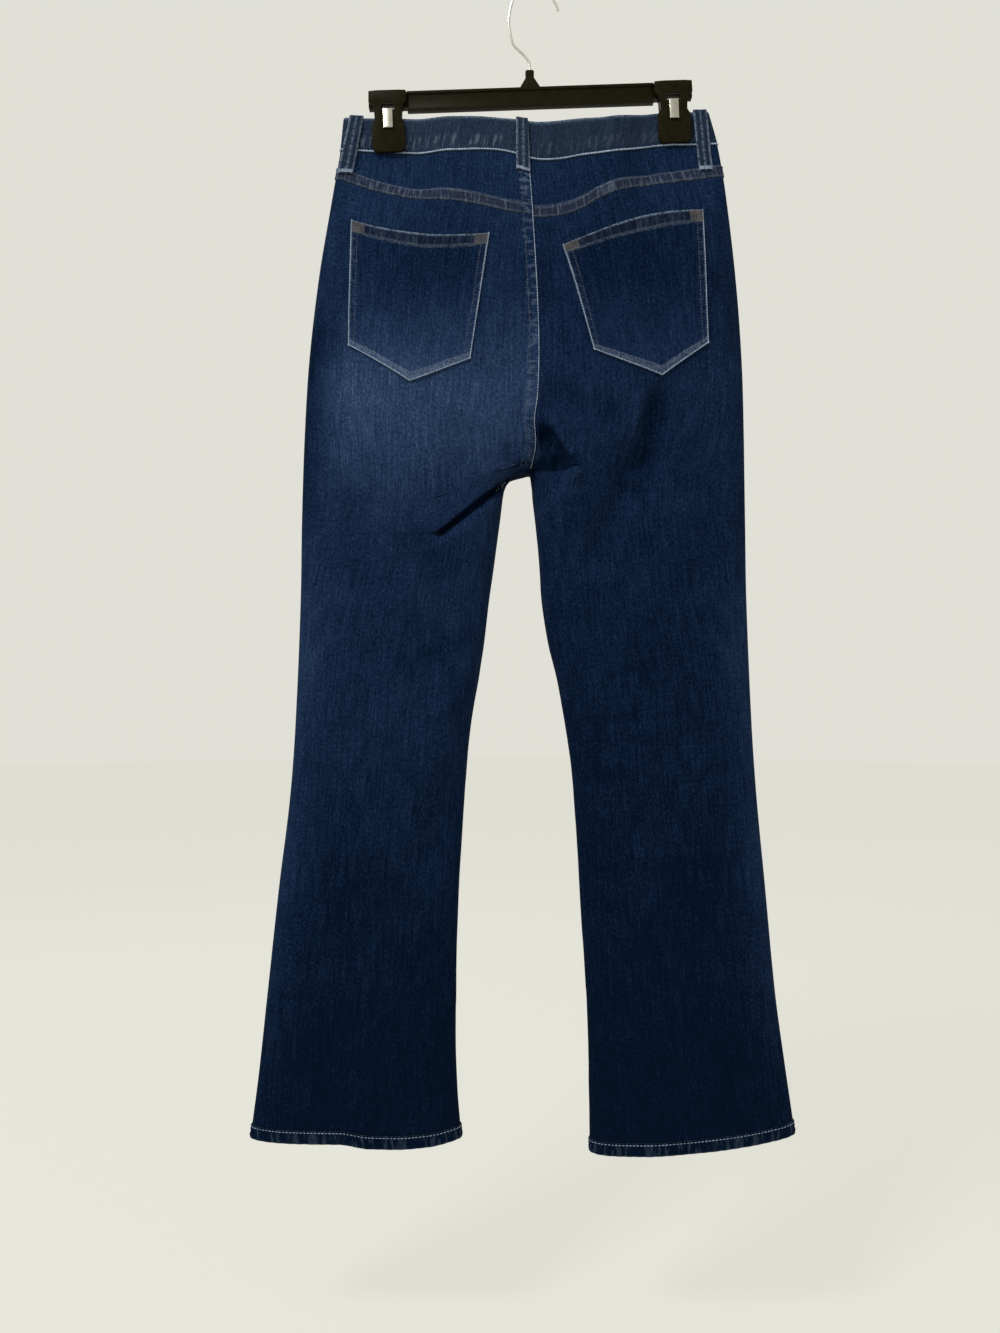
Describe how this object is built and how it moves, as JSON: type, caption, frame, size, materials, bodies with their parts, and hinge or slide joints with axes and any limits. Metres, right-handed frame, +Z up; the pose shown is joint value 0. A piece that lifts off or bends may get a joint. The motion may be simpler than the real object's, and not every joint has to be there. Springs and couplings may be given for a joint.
{
  "type": "flared jeans on a clip hanger",
  "caption": "Flared denim jeans hanging from a clip hanger by the waistband, with a yoke, seat pockets, belt loops, scooped front pockets and turned hems.",
  "frame": {"origin": "inside top of the hook's arc, where it rests on a rod", "axes": "+Z up; looking along +Y shows the seat of the jeans with +X to the right; the wearer's left leg is at -X"},
  "size_m": [0.5856, 0.0794, 1.2527],
  "materials": {
    "denim": "washed indigo twill",
    "waistband": "washed indigo twill, doubled",
    "plastic": "semi-gloss moulded",
    "steel": "plated wire and strip",
    "brass": "antiqued"
  },
  "bodies": {
    "root": {"back_leg_left": "denim", "front_leg_left": "denim", "yoke_left": "denim", "seat_pocket_left": "denim", "hem_left": "denim", "pocket_facing_left": "denim", "waistband_front_left": "waistband", "clip_jaw_left": "plastic", "clip_spring_left": "steel", "back_leg_right": "denim", "front_leg_right": "denim", "yoke_right": "denim", "seat_pocket_right": "denim", "hem_right": "denim", "pocket_facing_right": "denim", "waistband_front_right": "waistband", "clip_jaw_right": "plastic", "clip_spring_right": "steel", "waistband_back": "waistband", "loop_back_centre": "waistband", "loop_back_left": "waistband", "loop_back_right": "waistband", "loop_front_left": "waistband", "loop_front_right": "waistband", "waist_button": "brass", "hanger_bar": "plastic", "hanger_hook": "steel"}
  },
  "joints": []
}
